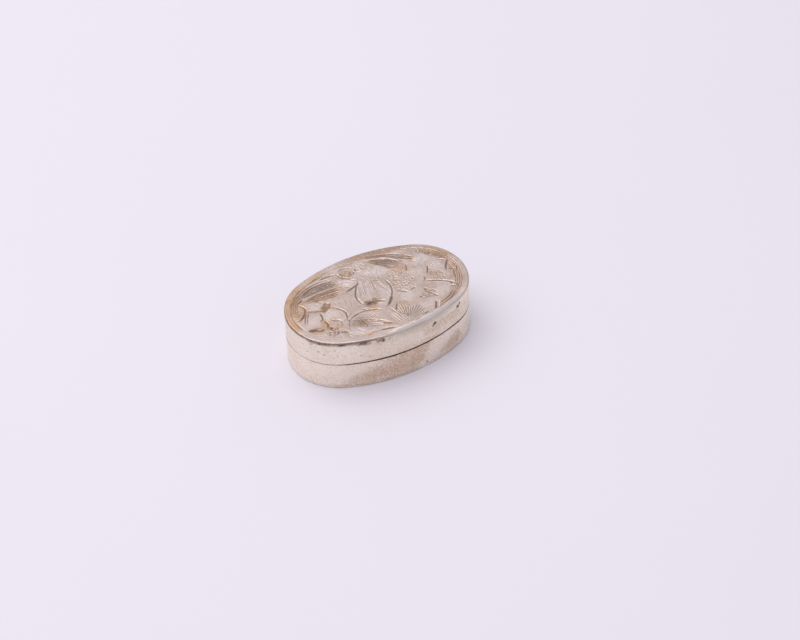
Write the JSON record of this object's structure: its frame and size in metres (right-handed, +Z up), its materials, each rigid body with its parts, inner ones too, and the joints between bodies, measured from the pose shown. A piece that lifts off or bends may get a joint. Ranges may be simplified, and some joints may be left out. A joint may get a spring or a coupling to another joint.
{
  "type": "pill box",
  "caption": "Small oval hinged pill box of silver sheet, with a flat engraved lid, a guiding bezel and a barrel hinge at the back.",
  "frame": {"origin": "centre of the oval on the surface that the box stands on", "axes": "+X along the box's length, -Y towards its front, +Z up; the hinge is on the +Y side"},
  "size_m": [0.04, 0.0272, 0.0121],
  "materials": {
    "base_silver": "worn silver with brown tarnish patches",
    "lid_silver": "worn silver with fine dark pits",
    "engraved_silver": "engraved silver with warm tarnish in the cuts",
    "inner_silver": "satin silver",
    "hinge_silver": "satin silver, darkened in the joints",
    "pin_silver": "drawn silver wire"
  },
  "bodies": {
    "base": {"base_plate": "base_silver", "base_wall": "base_silver", "bezel": "inner_silver", "base_knuckle_left": "hinge_silver", "base_knuckle_centre": "hinge_silver", "base_knuckle_right": "hinge_silver", "hinge_pin": "pin_silver"},
    "lid": {"lid_plate": "engraved_silver", "lid_wall": "lid_silver", "hinge_bearer": "inner_silver", "lid_knuckle_left": "hinge_silver", "lid_knuckle_right": "hinge_silver"}
  },
  "joints": [
    {"name": "lid_hinge", "type": "hinge", "parent": "base", "child": "lid", "pos_m": [0, 0.01339, 0.0063], "axis": [-1, 0, 0], "range_deg": [0, 105]}
  ]
}
